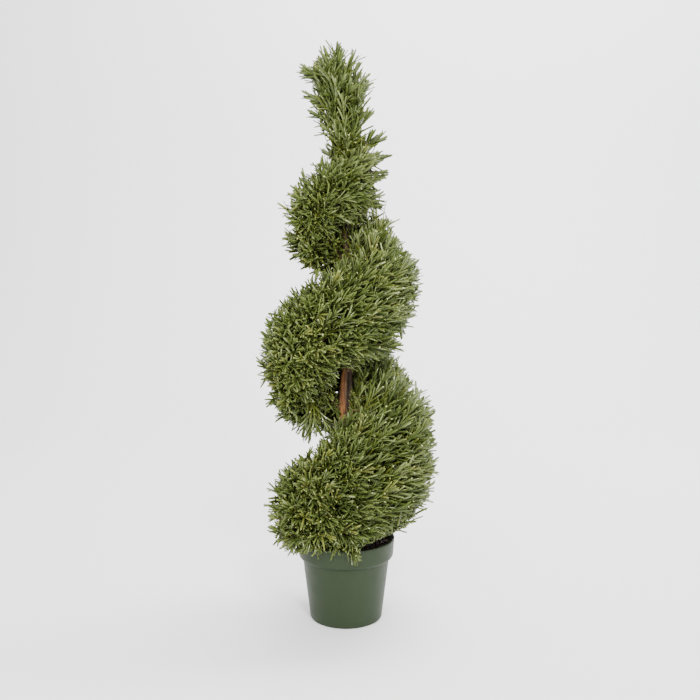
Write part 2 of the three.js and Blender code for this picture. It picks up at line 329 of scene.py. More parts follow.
MM = 0.001
outside = [(58, 0.6), (60, 0), *corner(73.5, 5, 5, -90, -5)]
shoulder = [(94.0, 134), (94.8, 137), *corner(98.4, 141.6, 3.9, -160, -70), (101.6, 140.2)]
band = [(102.6, 142.4), (103.0, 146), (105.2, 175), *corner(104.0, 178.5, 1.5, 0, 180)]
inside = [(100.6, 170), (96.1, 142), (92.1, 138), (76.6, 7), (73.6, 4)]
profile = np.array(outside + shoulder + band + inside) * MM
centres = np.array([(0, 0, height) for _, height in profile])
pot = extrude_rings(128, centres, profile[:, 0])
bpy.ops.mesh.edge_face_add()
bpy.ops.mesh.select_all(action="SELECT")
bpy.ops.mesh.normals_make_consistent(inside=False)
finish_shape(pot, "pot_shell", smooth_angle=50)
pot_low, pot_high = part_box("pot")
print("pot height", round(pot_high.z - pot_low.z, 4))

# %% [markdown]
# Plain green plastic is never quite even. The pigment swirls a little, the grain of the mould
# makes the gloss uneven, and fine scuffs gather where hands and shelves touch it.

# %% Plastic finish
plastic = Finish("moulded_plastic", srgb(36, 47, 28), 0.42, Specular_IOR_Level=0.18)
swirl = plastic.noise(9.0, detail=4.0, stretch=(1, 1, 0.5))
grain = plastic.noise(900.0, detail=2.0)
plastic.set("Base Color", plastic.blend(swirl, srgb(36, 46, 28), srgb(43, 54, 35)))
plastic.mottle(40.0, 0.16, 0.40)
plastic.relief(grain + plastic.noise(60.0, stretch=(1, 1, 0.3)) * 0.6, 0.12, 0.0006)
pot.data.materials.append(plastic.material)
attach(pot, "root")
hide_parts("pot")

# %% [markdown]
# ## The filling
# Under the leaves the pot is filled to just below its mouth with something like dark bark
# compost. A flat disc would look cut off. So the top of a thick disc is inset ring by ring, and
# all its points are pushed up or down by a cloud pattern. Crumbs of bark, one shape copied many
# times, lie on it.

# %% Bumpy surface
FILL_BASE, FILL_TOP = 0.135, 0.162
FILL_RADIUS = 0.0968
NEAR_TOP = 0.02  # above this, counted from the base, there is only the top face
clear_selection()
bpy.ops.mesh.primitive_circle_add(
    vertices=64, radius=FILL_RADIUS, fill_type="NGON", location=(0, 0, FILL_BASE)
)
filling = bpy.context.object
edit(filling)
bpy.ops.mesh.select_all(action="SELECT")
rise = {"value": (0, 0, FILL_TOP - FILL_BASE)}
bpy.ops.mesh.extrude_region_move(TRANSFORM_OT_translate=rise)
pick("faces", lambda middle: middle.z > NEAR_TOP)
for inset in (0.002, 0.003, *[0.0062] * 14):
    bpy.ops.mesh.inset(thickness=inset)
pick("verts", lambda middle: middle.z < NEAR_TOP)
bpy.ops.transform.resize(value=(0.935, 0.935, 1), center_override=(0, 0, FILL_BASE))
bpy.ops.mesh.select_all(action="SELECT")
bpy.ops.mesh.normals_make_consistent(inside=False)
finish_shape(filling, "filling_surface", smooth_angle=60)
clouds = bpy.data.textures.new("clods", type="CLOUDS")
clouds.noise_scale = 0.012
clouds.noise_depth = 3
heave = filling.modifiers.new("heave", "DISPLACE")
heave.texture = clouds
heave.direction = "Z"
heave.mid_level = 0.5
heave.strength = 0.011
bpy.ops.object.modifier_apply(modifier="heave")
print("filling top is now", round(max(v.co.z for v in filling.data.vertices), 4))

# %% [markdown]
# ## Many copies as one mesh
# Crumbs, twigs and leaves number in the tens of thousands. As objects of their own they would
# choke any program that opens the part, so each small shape is modelled once, read into arrays,
# turned and moved by array arithmetic, and written back as one joined mesh.


# %% Arrays in and out of meshes
def mesh_arrays(mesh):
    """Points and triangles of a mesh."""
    mesh.calc_loop_triangles()
    points = np.empty(len(mesh.vertices) * 3)
    mesh.vertices.foreach_get("co", points)
    triangles = np.empty(len(mesh.loop_triangles) * 3, int)
    mesh.loop_triangles.foreach_get("vertices", triangles)
    return points.reshape(-1, 3), triangles.reshape(-1, 3)


def read_shape(piece):
    """Points and triangles of a modelled shape, which is then removed."""
    clear_selection()
    arrays = mesh_arrays(piece.data)
    bpy.data.objects.remove(piece)
    return arrays


def copies(points, triangles, bases, origins):
    """One turned and moved copy of a shape for each basis (rows are its x, y and z) and origin."""
    placed = np.einsum("pk,nkc->npc", points, bases) + origins[:, None, :]
    steps = np.arange(len(origins))[:, None, None] * len(points)
    return placed.reshape(-1, 3), (triangles[None] + steps).reshape(-1, 3)


def join(parts):
    """Joins (points, triangles) pairs into one pair."""
    starts = np.cumsum([0] + [len(points) for points, _ in parts])
    points = np.concatenate([points for points, _ in parts])
    return points, np.concatenate([tris + start for (_, tris), start in zip(parts, starts)])


def mesh_piece(name, points, triangles, finishes, slots=None):
    """Makes a smooth-shaded piece from arrays. Slots say which finish each triangle takes."""
    mesh = bpy.data.meshes.new(name)
    mesh.vertices.add(len(points))
    mesh.vertices.foreach_set("co", points.ravel())
    mesh.loops.add(triangles.size)
    mesh.loops.foreach_set("vertex_index", triangles.ravel().astype(np.int32))
    mesh.polygons.add(len(triangles))
    mesh.polygons.foreach_set("loop_start", np.arange(0, triangles.size, 3, dtype=np.int32))
    mesh.polygons.foreach_set("use_smooth", np.ones(len(triangles), bool))
    for finish in finishes:
        mesh.materials.append(finish.material)
    if slots is not None:
        mesh.polygons.foreach_set("material_index", slots.astype(np.int32))
    mesh.update(calc_edges=True)
    piece = bpy.data.objects.new(name, mesh)
    bpy.context.scene.collection.objects.link(piece)
    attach(piece, "root")
    return piece


def unit(vectors):
    """Vectors scaled to length 1."""
    return vectors / np.maximum(np.linalg.norm(vectors, axis=-1, keepdims=True), 1e-9)


def bases_along(axes, sideways):
    """Bases whose z runs along the axes and whose x leans to the sideways vectors."""
    z = unit(axes)
    x = unit(sideways - (sideways * z).sum(-1, keepdims=True) * z)
    return np.stack([x, np.cross(z, x), z], -2)


chance = np.random.default_rng(11)
print("array helpers ready")

# %% Crumbs of bark on the filling
clear_selection()
bpy.ops.mesh.primitive_ico_sphere_add(subdivisions=1, radius=1.0)
crumb = bpy.context.object
edit(crumb)
bpy.ops.mesh.select_all(action="SELECT")
bpy.ops.transform.resize(value=(1.0, 0.55, 0.3))
pick("verts", lambda middle: middle.x > 0.3)
bpy.ops.transform.resize(value=(1, 0.6, 1.5), center_override=(1, 0, 0))
crumb_points, crumb_tris = read_shape(crumb)

amount = 760
angle = chance.uniform(0, 2 * math.pi, amount)
away = 0.0935 * np.sqrt(chance.uniform(0.02, 1, amount))
tumbled = unit(chance.normal(size=(amount, 3)) * (0.35, 0.35, 1))
bases = bases_along(tumbled, chance.normal(size=(amount, 3)))
bases = bases * chance.uniform(0.003, 0.0075, amount)[:, None, None]
resting = 0 * away + FILL_TOP + 0.002
origins = np.stack([away * np.cos(angle), away * np.sin(angle), resting], -1)
crumbs = copies(crumb_points, crumb_tris, bases, origins)
print(amount, "crumbs,", len(crumbs[1]), "triangles")

# %% [markdown]
# The compost is nearly black where it is damp and reddish where a chip of bark lies dry. The
# surface takes an even mix by a fine pattern, and the crumbs take two plain browns.

# %% Compost finishes
compost = Finish("damp_compost", srgb(40, 31, 24), 0.95)
clods = compost.noise(160.0, detail=5.0, roughness=0.7)
compost.set("Base Color", compost.blend(clods, srgb(24, 18, 14), srgb(66, 50, 38)))
compost.mottle(300.0, 0.2, 0.78)
compost.relief(compost.noise(420.0, detail=4.0), 0.6, 0.001)
filling.data.materials.append(compost.material)
chip = Finish("bark_chip", srgb(70, 50, 36), 0.9).mottle(240.0, 0.2, 0.75)
dark_chip = Finish("dark_chip", srgb(38, 28, 22), 0.92).mottle(240.0, 0.2, 0.78)
slots = np.repeat(chance.integers(0, 2, amount), len(crumb_tris))
loose = mesh_piece("filling_crumbs", *crumbs, [chip, dark_chip], slots)
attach(filling, "root")
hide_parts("filling")
print("pieces of the filling:", filling.name, "and", loose.name)

# %% [markdown]
# ## The shape of the stem
# The stem waves a little, leans to the right where the lower groove shows it, and bows over at its
# tip. It swells in that groove and flares at its foot. Its middle line and its radius are two
# small functions of height, and everything else grows from them.


# %% Stem functions
STEM_FOOT, STEM_TOP = 0.1643, 1.165
WAVE, SWAY = 0.43, 0.004  # the length of one wave, and how far it leans out
BOW_FROM, BOW_RISE, BOW = 1.01, 0.155, 0.027  # from which height the tip bows, and how far


def smooth(x):
    """Rises gently from 0 to 1."""
    x = np.clip(x, 0, 1)
    return x * x * (3 - 2 * x)


def hump(z, height, spread):
    """Rises gently from 0 to 1 at one height, and falls again."""
    return np.exp(-(((z - height) / spread) ** 2))


def stem_at(z):
    """The middle of the stem at some heights."""
    z = np.asarray(z, float)
    waves = (z - STEM_FOOT) / WAVE * 2 * math.pi
    sway = SWAY * smooth((z - STEM_FOOT) / WAVE)
    bow = BOW * np.clip((z - BOW_FROM) / BOW_RISE, 0, 1) ** 2
    x = sway * np.sin(waves) - bow + 0.007 * hump(z, 0.56, 0.06)
    return np.stack([x, sway * np.cos(0.8 * waves), z], -1)


def stem_radius(z):
    """The radius of the stem at some heights."""
    share = np.clip((z - STEM_FOOT) / (STEM_TOP - STEM_FOOT), 0, 1)
    flare = 1 - smooth((z - STEM_FOOT) / 0.03)
    return 0.015 - 0.0135 * share + 0.003 * hump(z, 0.5, 0.07) + 0.006 * flare


print("stem at half height:", stem_at(0.65).round(4))

# %% [markdown]
# ## The trunk
# The trunk is real-looking wood: strands that wind round each other, grey bark on most of them
# and one rubbed bare to an orange brown. It is modelled like the pot, as a ring that is extruded
# up the stem. Then each point is moved in or out, by a sum of the strands and of long bark
# ridges. The strand and the depth are kept as attributes, so that the colour can follow them.

# %% Extrude the trunk
SIDES, RINGS = 48, 120
SUNK = 0.006  # how deep the foot stands in the filling
heights = np.append(STEM_FOOT - SUNK, np.linspace(STEM_FOOT, STEM_TOP, RINGS))
trunk = extrude_rings(SIDES, stem_at(heights), stem_radius(heights))
bpy.ops.mesh.merge(type="CENTER")
finish_shape(trunk, "trunk_bark")
bpy.ops.object.shade_smooth()
print("rings up the trunk:", len(heights))


# %% Strands and bark ridges
STRANDS = 3
TWIST, TWIST_START = 0.09, 8.95  # the height in which the phase grows by one, and its start


def bark_relief(points, middles):
    """Moves points of a limb in or out like bark. Returns them, how bare, and how deep."""
    spokes = points - middles
    turn = np.arctan2(spokes[:, 1], spokes[:, 0])
    phase = STRANDS * turn + points[:, 2] / TWIST + TWIST_START
    strand = ((np.sin(phase) + 1) / 2) ** 0.45
    which = np.floor((phase + math.pi / 2) / (2 * math.pi)) % STRANDS
    rough = np.array([noise.noise(Vector((x * 260, y * 260, z * 26))) for x, y, z in points])
    lumpy = np.array([noise.noise(Vector((x * 60, y * 60, z * 22 + 9))) for x, y, z in points])
    bare = np.where(which == 1, np.clip(strand * 1.9 - 0.75 + lumpy * 0.5, 0, 1), 0)
    grow = 0.17 * (strand - 0.62) + 0.10 * lumpy + (0.10 - 0.07 * bare) * rough
    depth = np.clip(0.55 + 0.7 * (strand - 0.7) + 0.75 * rough * (1 - 0.7 * bare), 0, 1)
    return middles + spokes * (1 + grow)[:, None], bare, depth


def keep_attribute(mesh, name, values):
    """Stores one number for each point, which a material can read by its name."""
    mesh.attributes.new(name, "FLOAT", "POINT").data.foreach_set("value", values.astype(np.float32))


points, _ = mesh_arrays(trunk.data)
points, bare, depth = bark_relief(points, stem_at(points[:, 2]))
trunk.data.vertices.foreach_set("co", points.ravel())
keep_attribute(trunk.data, "bare_wood", bare)
keep_attribute(trunk.data, "bark_height", depth)
trunk.data.update()
print("trunk:", len(points), "points, bare share", round(float(bare.mean()), 3))

# %% Bark finish
bark = Finish("bark", srgb(92, 74, 60), 0.85)
height = bark.node("ShaderNodeAttribute", {"attribute_name": "bark_height"}, output="Fac")
rubbed = bark.node("ShaderNodeAttribute", {"attribute_name": "bare_wood"}, output="Fac")
fibres = bark.noise(60.0, detail=5.0, stretch=(4, 4, 0.4), roughness=0.7)
fibres = ((fibres - 0.5) * 3.6 + 0.42).clamped()
patches = bark.noise(22.0, stretch=(1, 1, 0.6))
grey = bark.blend(fibres, srgb(52, 39, 27), srgb(154, 134, 106))
brown = bark.blend(fibres, srgb(66, 42, 28), srgb(150, 106, 72))
outer = bark.blend((patches * 3 - 1.0).clamped(), grey, brown)
inner = bark.blend(fibres, srgb(60, 31, 15), srgb(186, 122, 64))
skin = bark.blend(rubbed, outer, inner)
shade = ((1 - height) * 1.25 - 0.25).clamped()
bark.set("Base Color", bark.blend(shade, skin, srgb(34, 22, 15)))
bark.set("Roughness", 0.9 - rubbed * 0.3)
bark.relief(fibres + height * 0.5, 0.7, 0.0018)
trunk.data.materials.append(bark.material)
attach(trunk, "root")
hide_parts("trunk")
print("trunk finish:", len(bark.tree.nodes), "nodes")

# %% [markdown]
# ## Where the sprays end
# The frame's masses are the clipped outline of the coil. Each spray of leaves should end on that
# outline, evenly spaced but not in rows. So points are dealt over the outer faces by their area,
# and then thinned: any point too near one that is already kept is dropped.

# %% The masses, from the foot of the coil to its top
ROUND = ("left", "front_left", "front", "front_right", "right", "back_right", "back", "back_left")


def climb_order(name):
    _, coil, side = name.split("_", 2)
    return int(coil) * 8 + ROUND.index(side)


masses = sorted((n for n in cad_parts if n.startswith("coil_")), key=climb_order)
masses.append("tip")
TIP = len(masses) - 1
print(len(masses), "masses, from", masses[0], "to", masses[TIP])


# %% Deal points over the outer faces
CUT = 0.93  # a face that looks along the coil more than this is a cut between two masses
CORE = 0.034  # a face nearer to the stem than this can't be seen
CAP = 1.15  # above this height every face of the plume is seen
DENSITY = 16000  # points for each square metre


def crossed(corners):
    """The normal of each triangle, as long as twice its area."""
    return np.cross(corners[:, 1] - corners[:, 0], corners[:, 2] - corners[:, 0])


def outer_faces(name):
    """Corners, normals and areas of the faces of a mass that are seen from outside."""
    points, triangles = mesh_arrays(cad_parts[name].data)
    corners = points[triangles]
    normals = unit(crossed(corners))
    middles = corners.mean(1)
    out = middles - stem_at(middles[:, 2])
    away = np.hypot(out[:, 0], out[:, 1])
    along = np.stack([-out[:, 1], out[:, 0], 0 * away], -1) / away[:, None]
    facing = (normals * along).sum(1)
    shown = (np.abs(facing) < CUT) & (away > CORE)
    if name == masses[0]:
        shown |= facing < -CUT
    if name == masses[TIP]:
        shown |= middles[:, 2] > CAP
    corners = corners[shown]
    return corners, normals[shown], np.linalg.norm(crossed(corners), axis=1) / 2


sites, facings, owners = [], [], []
for number, name in enumerate(masses):
    corners, normals, areas = outer_faces(name)
    drawn = chance.choice(len(areas), int(areas.sum() * DENSITY), p=areas / areas.sum())
    a, b = np.sqrt(chance.uniform(size=len(drawn))), chance.uniform(size=len(drawn))
    weights = np.stack([1 - a, a * (1 - b), a * b], -1)
    sites.append((corners[drawn] * weights[:, :, None]).sum(1))
    facings.append(normals[drawn])
    owners.append(np.full(len(drawn), number))
sites, facings, owners = (np.concatenate(x) for x in (sites, facings, owners))
print(len(sites), "points dealt")

# %% Thin them to an even spacing
in_tip = owners == TIP
in_plume = in_tip & (sites[:, 2] > 1.06)
spacing = np.where(in_plume, 0.0235, 0.0165)
spacing[in_tip & ~in_plume] = 0.0130
tree = KDTree(len(sites))
for i, place in enumerate(sites):
    tree.insert(place, i)
tree.balance()
kept = np.ones(len(sites), bool)
for i in chance.permutation(len(sites)):
    if kept[i]:
        for _, other, _ in tree.find_range(sites[i], spacing[i]):
            kept[other] = other == i
sites, facings, owners = sites[kept], facings[kept], owners[kept]
print(len(sites), "sprays")

# %% [markdown]
# ## Which way each spray points
# Clipped sprays stand out from the mass, lean forward along the climb, and turn up a little to
# the light. In the plume they point up and out. Where the lowest coil lies over the pot they
# slip out sideways, and a few hang over the rim.

# %% Directions
UP = np.array([0, 0, 1.0])
CLIMB = 0.39  # how far the coil climbs for each metre that it runs round
RIM = 0.108  # how far out the sprays over the pot stand at most
in_tip = owners == TIP
axis = stem_at(np.minimum(sites[:, 2], STEM_TOP))
out = (sites - axis) * (1, 1, 0)
away = np.linalg.norm(out, axis=1)
out = unit(out)
climb = unit(np.stack([-out[:, 1], out[:, 0], np.full(len(out), CLIMB)], -1))
wander = chance.normal(size=sites.shape) * 0.26
x, y, z = sites.T
over_pot = (facings[:, 2] < -0.8) & (z < 0.2) & (away < RIM)
hanging = (z < 0.21) & (away > 0.1) & ~over_pot
steep = 2.4 - 1.2 * np.clip((z - 1.05) / 0.11, 0, 1)  # the plume opens towards its top
lift = np.where(in_tip, steep * chance.uniform(0.5, 1.2, len(sites)), 0.25)
lift[hanging] = -0.25
forward = np.where(in_tip, 0.2, np.where(hanging, 0.3, 0.95))
pointing = facings + forward[:, None] * climb + lift[:, None] * UP + wander
pointing[over_pot] = (out + 0.3 * climb - 0.12 * UP + wander)[over_pot]
inward = hanging & ((facings * out).sum(1) < 0)
pointing[inward] = (0.7 * out + 0.3 * climb - 0.6 * UP + wander)[inward]
pointing[in_tip, 2] = np.maximum(pointing[in_tip, 2], 0.3)
pointing = unit(pointing)
print("sprays that hang over the rim:", int(hanging.sum()))

# %% [markdown]
# ## How deep each spray ends
# The sprays end inside the outline, so that their leaf tips reach it. No clipped coil is an even
# tube, though. In some places the leaves bulge past the outline, and in others they lie back from
# it. Each such place is a row in a table: how much deeper its sprays end, and where it lies. Here
# and there a spray stands a little proud of the others.


# %% Depths and ends
def near(values, middle, reach):
    """Tells which values lie within reach of a middle."""
    return np.abs(values - middle) < reach


groove = near(x, 0.035, 0.03) & near(z, 0.82, 0.02)
groove |= near(x, 0.060, 0.040) & near(z, 0.53, 0.04)
groove &= (y < 0) & (facings[:, 2] > 0.5)
deeper = (
    (-0.014, (x > 0.13) & near(z, 0.42, 0.04)),  # the lowest turn bulges at the right
    (-0.018, (x > 0.10) & near(z, 0.36, 0.11)),
    (-0.009, (x > 0.05) & near(z, 0.87, 0.03)),  # and the third turn, less
    (0.006, in_tip & (x > 0.02)),  # the plume is slimmer at its right
    (0.013, near(z, 1.04, 0.035)),  # its neck is slim
    (-0.030, groove),  # the floor of the grooves, right of the stem, is full
    (0.022, (x > 0.05) & (z < 0.27)),  # the right of the coil lies back over the rim
    (0.022, (x < -0.03) & near(z, 0.41, 0.05) & (facings[:, 2] > 0.3)),  # a dip at the left
)
depth = 0.033 * (pointing * facings).sum(1) - 0.002 + chance.normal(0, 0.006, len(sites))
for change, where in deeper:
    depth += change * where
ends = sites - facings * np.clip(depth, 0, 0.040)[:, None]
ends[groove & (z < 0.6), 2] += 0.012
roomy = (away < 0.150) | ((x > 0.10) & near(z, 0.40, 0.08))
roomy &= ~((x < -0.03) & near(z, 0.37, 0.07))
proud = roomy & (chance.uniform(size=len(sites)) < 0.25)
ends[proud] += pointing[proud] * chance.uniform(0.004, 0.018, proud.sum())[:, None]
ends[inward, 2] += 0.022
crown = np.clip(ends[:, 2] - 1.15, 0, 1) + np.clip(ends[:, 2] - 1.19, 0, 1)
ends[:, 2] -= crown * np.clip(away / 0.03, 0, 1) * 0.3
print("sprays that stand proud:", int(proud.sum()))

# %% [markdown]
# ## Arms that stand out on their own
# What tells one plant from the next is a handful of arms that left the outline. No rule finds
# them, so they are listed one by one, each by the point where its leaf tips are and by the way it
# points. Each belongs to the mass of the spray that ends nearest to it.

# %% Sprays listed one by one
# Each row: where the leaf tips are, and then which way the spray points.
LONERS = np.array(
    [
        # the plume
        (-0.103, 0.010, 1.170, -1, 0, 0.40),
        (-0.098, -0.005, 1.160, -1, 0, 0.15),
        (-0.092, 0.002, 1.178, -1, 0, 0.70),
        (-0.023, 0.000, 1.224, -0.1, 0, 1),
        (-0.012, 0.008, 1.214, 0.3, 0, 1),
        (0.026, -0.010, 1.202, 0.6, 0, 1),
        (0.055, 0.012, 1.157, 0.8, 0, 1),
        (0.050, -0.004, 1.146, 0.9, 0, 0.7),
        (-0.052, -0.012, 1.205, -0.5, 0, 1),
        (-0.062, 0.010, 1.192, -0.9, 0, 0.9),
        (-0.089, -0.010, 1.120, -1, 0, 0.5),
        (-0.080, 0.005, 1.086, -1, 0, 0.5),
        (-0.057, -0.015, 1.048, -1, 0, 0.4),
        # its neck, and the third turn
        (0.052, 0.000, 1.089, 0.6, 0, 1),
        (0.064, -0.012, 1.046, 0.7, 0, 1),
        (0.088, -0.010, 1.036, 1, 0, 0.6),
        (0.082, 0.004, 1.026, 1, 0, 0.3),
        (-0.050, 0.010, 1.012, -1, 0, 0.9),
        (-0.068, -0.010, 0.984, -1, 0, 0.7),
        (0.088, 0.010, 0.990, 1, 0, 0.3),
        (0.084, -0.012, 0.982, 1, 0, 0.1),
        (0.085, -0.015, 0.952, 1, 0, 0.2),
        (0.080, 0.000, 0.890, 1, 0, -0.6),
        (0.074, -0.012, 0.898, 0.9, -0.2, -0.3),
        (0.102, -0.010, 0.868, 0.8, 0, 1),
        # over the lowest turn, at the left
        (-0.096, -0.030, 0.400, -0.4, -0.1, -1),
        (-0.080, -0.045, 0.398, -0.2, -0.2, -1),
        (-0.065, -0.020, 0.408, 0.1, 0, -1),
        (-0.050, -0.040, 0.402, 0.3, -0.1, -1),
        (-0.034, -0.030, 0.412, 0.5, 0, -1),
        (-0.062, 0.000, 0.392, -1, 0, 0.5),
        (-0.052, -0.015, 0.405, -0.8, 0, 0.8),
        (-0.058, -0.030, 0.380, -1, -0.2, 0.3),
        # round the stem in the lower groove
        (0.036, -0.016, 0.515, 0.0, -0.2, 1),
        (0.040, -0.010, 0.535, 0.1, -0.2, 1),
        (0.046, -0.012, 0.555, 0.4, -0.2, 1),
        (0.030, 0.020, 0.545, 0.3, 0.3, 1),
        (0.024, 0.030, 0.530, 0.1, 0.3, 1),
        (-0.026, 0.020, 0.525, -0.2, 0.2, -1),
        (0.044, 0.004, 0.520, 0.2, -0.2, 1),
        (-0.028, -0.020, 0.525, 0.5, -0.2, -0.6),
        (-0.030, -0.022, 0.500, 0.4, -0.3, -0.8),
        (-0.034, -0.020, 0.475, 0.4, -0.3, -0.8),
        (-0.036, -0.024, 0.450, 0.2, -0.3, -0.9),
        # over the rim
        (0.042, -0.122, 0.164, 0.75, -0.35, -0.5),
        (0.032, -0.124, 0.158, 0.6, -0.40, -0.6),
        (0.021, -0.125, 0.165, 0.4, -0.50, -0.6),
        (0.036, -0.114, 0.176, 0.9, -0.30, -0.3),
        (-0.024, -0.122, 0.171, -0.1, -0.55, -0.6),
        (-0.068, -0.112, 0.175, -0.3, -0.50, -0.6),
        (-0.106, -0.078, 0.164, -0.6, -0.30, -0.6),
        # the left end of the upper groove
        (-0.138, 0.000, 0.828, -1, 0, 0),
        (-0.128, -0.012, 0.818, -1, 0, -0.3),
        (-0.092, -0.010, 0.776, -0.6, 0, -1),
        (-0.076, 0.004, 0.772, -0.2, 0, -1),
        (-0.084, -0.010, 0.736, -0.8, 0, 0.8),
    ]
)
headings = unit(LONERS[:, 3:])
loner_ends = LONERS[:, :3] - headings * 0.032
gaps = np.linalg.norm(loner_ends[:, None] - ends, axis=2)
index = np.append(np.arange(len(sites)), np.argmin(gaps, axis=1))
per_spray = (sites, owners, out, away, in_tip, hanging)
sites, owners, out, away, in_tip, hanging = (values[index] for values in per_spray)
ends = np.concatenate([ends, loner_ends])
pointing = np.concatenate([pointing, headings])
print("sprays placed by hand:", len(LONERS))

# %% [markdown]
# ## How long each spray is
# Sprays that stand far from the stem are long, and those near it short. Those of the plume and of
# the outside of the coil, all but its left, are narrow. Then the ends are moved in where leaf tips
# would stand too far past the frame. At the right and at the back that limit waves with the
# height, so that it doesn't show as a straight edge.

# %% Lengths and feet
LEAF_REACH = 0.037  # how far leaf tips stand past the end of a spray
LOW_LIMIT, HIGH_LIMIT = (-0.190, -0.187), (0.196, 0.188)  # for leaf tips, in x and y
narrow = (in_tip & (sites[:, 2] > 1.0)) | (~in_tip & (away > 0.07) & (out[:, 0] > -0.3))
narrow[-len(LONERS) :] = True
leaf_tips = ends[:, :2] + pointing[:, :2] * LEAF_REACH
uneven = 0.016 * np.sin(61.6 * (sites[:, 2:] - 0.338)) ** 2
ends[:, :2] -= leaf_tips - np.clip(leaf_tips, LOW_LIMIT, HIGH_LIMIT - uneven)
long_spray = (away > 0.07) | (in_tip & (sites[:, 2] > 1.08)) | narrow
long_lengths = chance.uniform(0.058, 0.070, len(sites))
short_lengths = chance.uniform(0.038, 0.046, len(sites))
lengths = np.where(long_spray, long_lengths, short_lengths)
feet = ends - pointing * lengths[:, None]
print("long sprays:", int(long_spray.sum()), "short ones:", int((~long_spray).sum()))

# %% [markdown]
# ## Growing the limbs
# The wood grows as a real shrub's does, from thick to thin. The stem is a row of points. From it
# a main bough rises at half a right angle into each mass of the coil, and forks there into limbs
# that spread along it. Then the sprays join one by one, nearest first: each looks for the closest
# point that is already there, preferring one straight behind it, and grows a twig from it. A limb
# is as thick as all that it carries.


# %% The tree of points
STEM, BOUGH, TWIG = 0, 1, 2


class Growth:
    """Points of wood, each with its kind and with the one behind it."""

    def __init__(self, room):
        self.at = np.zeros((room, 3))
        self.behind = np.full(room, -1)
        self.kind = np.zeros(room, int)
        self.count = 0

    def add(self, place, behind, kind):
        """Adds a point, and returns its number."""
        self.at[self.count] = place
        self.behind[self.count] = behind
        self.kind[self.count] = kind
        self.count += 1
        return self.count - 1

    def limb(self, behind, path, kind):
        """Adds a path of points, and returns the number of its last."""
        for place in path:
            behind = self.add(place, behind, kind)
        return behind

    def closest(self, place, heading):
        """The point to grow from: near, and behind the place as it heads."""
        gap = place - self.at[: self.count]
        length = np.linalg.norm(gap, axis=1) + 1e-6
        straight = gap @ heading / length
        return int(np.argmin(length * (1.7 - straight)))


def curve(start, bend, end, steps):
    """Points on a smooth curve from start to end, the start left out."""
    t = (np.arange(1, steps + 1) / steps)[:, None]
    return (1 - t) ** 2 * start + 2 * t * (1 - t) * bend + t**2 * end


wood = Growth(40000)
stem_heights = np.linspace(STEM_FOOT, STEM_TOP, 68)
wood.limb(-1, stem_at(stem_heights), STEM)
print("stem points:", wood.count)

# %% Main boughs and their forks
COIL_START = -0.1875  # the middle of the first mass, in turns from the left
FORKS = ((0.9, 0, 0.55), (-0.9, 0, 0.55), (0.3, 0.5, 0.6), (-0.3, -0.5, 0.6))
bough_lines = []
for number, name in enumerate(masses[:TIP]):
    low, high = (np.array(corner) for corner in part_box(name))
    turn = COIL_START + number / 8
    heading = math.pi + 2 * math.pi * turn
    outward = np.array([math.cos(heading), math.sin(heading), 0])
    along = np.array([-outward[1], outward[0], CLIMB])
    own = sites[owners == number] - stem_at(sites[owners == number][:, 2])
    reach = np.quantile(np.hypot(own[:, 0], own[:, 1]), 0.95)
    middle = (low[2] + high[2]) / 2
    root = max(middle - 0.55 * reach, STEM_FOOT + 0.02)
    if number >= 6 and number % 2 == 0:
        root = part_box(f"bough_{number // 2 - 2}")[0].z + 0.004
    core = stem_at(middle) + outward * reach * 0.5
    core[2] = max(middle, root + 0.02)
    start = int(np.argmin(np.abs(stem_heights - root)))
    foot = stem_at(root)
    bend = foot + (outward + UP) * max(core[2] - root, 0.03) * 0.5
    path = curve(foot, bend, core, 10)
    end = wood.limb(start, path, BOUGH)
    bough_lines.append((np.vstack([foot, path]), along))
    for aside, rise, share in FORKS:
        goal = core + (along * aside + UP * rise) * reach * 0.32 + outward * reach * (share - 0.5)
        bent = core + (outward + along * aside * 0.3) * reach * 0.1
        wood.limb(end, curve(core, bent, goal, 4), TWIG)
print("after the boughs:", wood.count, "points")

# %% Short sprays along the boughs and the upper stem
fill = []
for number, (line, along) in enumerate(bough_lines):
    for share in (0.12, 0.22, 0.32, 0.42, 0.52, 0.65, 0.8):
        place = int(share * (len(line) - 1))
        ahead = unit(line[place + 1] - line[place])
        heading = 0.8 * along + 0.3 * ahead + 0.5 * chance.normal(size=3) - 0.2 * UP
        fill.append((line[place], unit(heading), number))
for z in np.linspace(0.90, 1.10, 36):
    turn = chance.uniform(0, 2 * math.pi)
    heading = np.array([math.cos(turn), math.sin(turn), chance.uniform(0.5, 1.4)])
    fill.append((stem_at(z), unit(heading), TIP))
fill_feet, fill_pointing, fill_owners = (np.array(column) for column in zip(*fill))
none = np.zeros(len(fill), bool)
short = np.full(len(fill), 0.026)
so_far = (feet, pointing, out, owners, lengths, long_spray, hanging, narrow)
added = (fill_feet, fill_pointing, fill_pointing, fill_owners, short, none, none, none)
joined = [np.concatenate(pair) for pair in zip(so_far, added)]
feet, pointing, out, owners, lengths, long_spray, hanging, narrow = joined
print("sprays along the boughs:", len(fill))

# %% [markdown]
# ## Gaps in the outline
# The outline has notches, where one looks in between two arms. Three narrow ones open to the
# right out of the third turn, and the right of the pot's rim stays in view. To cut them out of the
# masses would be coarse, because one spray is wider than such a gap. So a small test tells which
# points lie in one. It leaves out a spray that would end there, and later it leaves out single
# leaves.


# %% The test for a gap
GAP_HEIGHTS = (0.925, 0.962, 1.003)
GAP_START = 0.045  # how far right of the stem the gaps begin


def in_gap(places):
    """Tells which points hang before the right of the rim, or lie in a gap of the outline."""
    x, y, z = np.moveaxis(places, -1, 0)
    gap = (y < 0) & (x > 0.035) & (z + 0.33 * y < 0.137 + 0.47 * x)
    further = x - GAP_START
    for height in GAP_HEIGHTS:
        gap |= np.abs(z - height - 0.08 * y - 0.35 * further) < 0.2 * further
    return gap


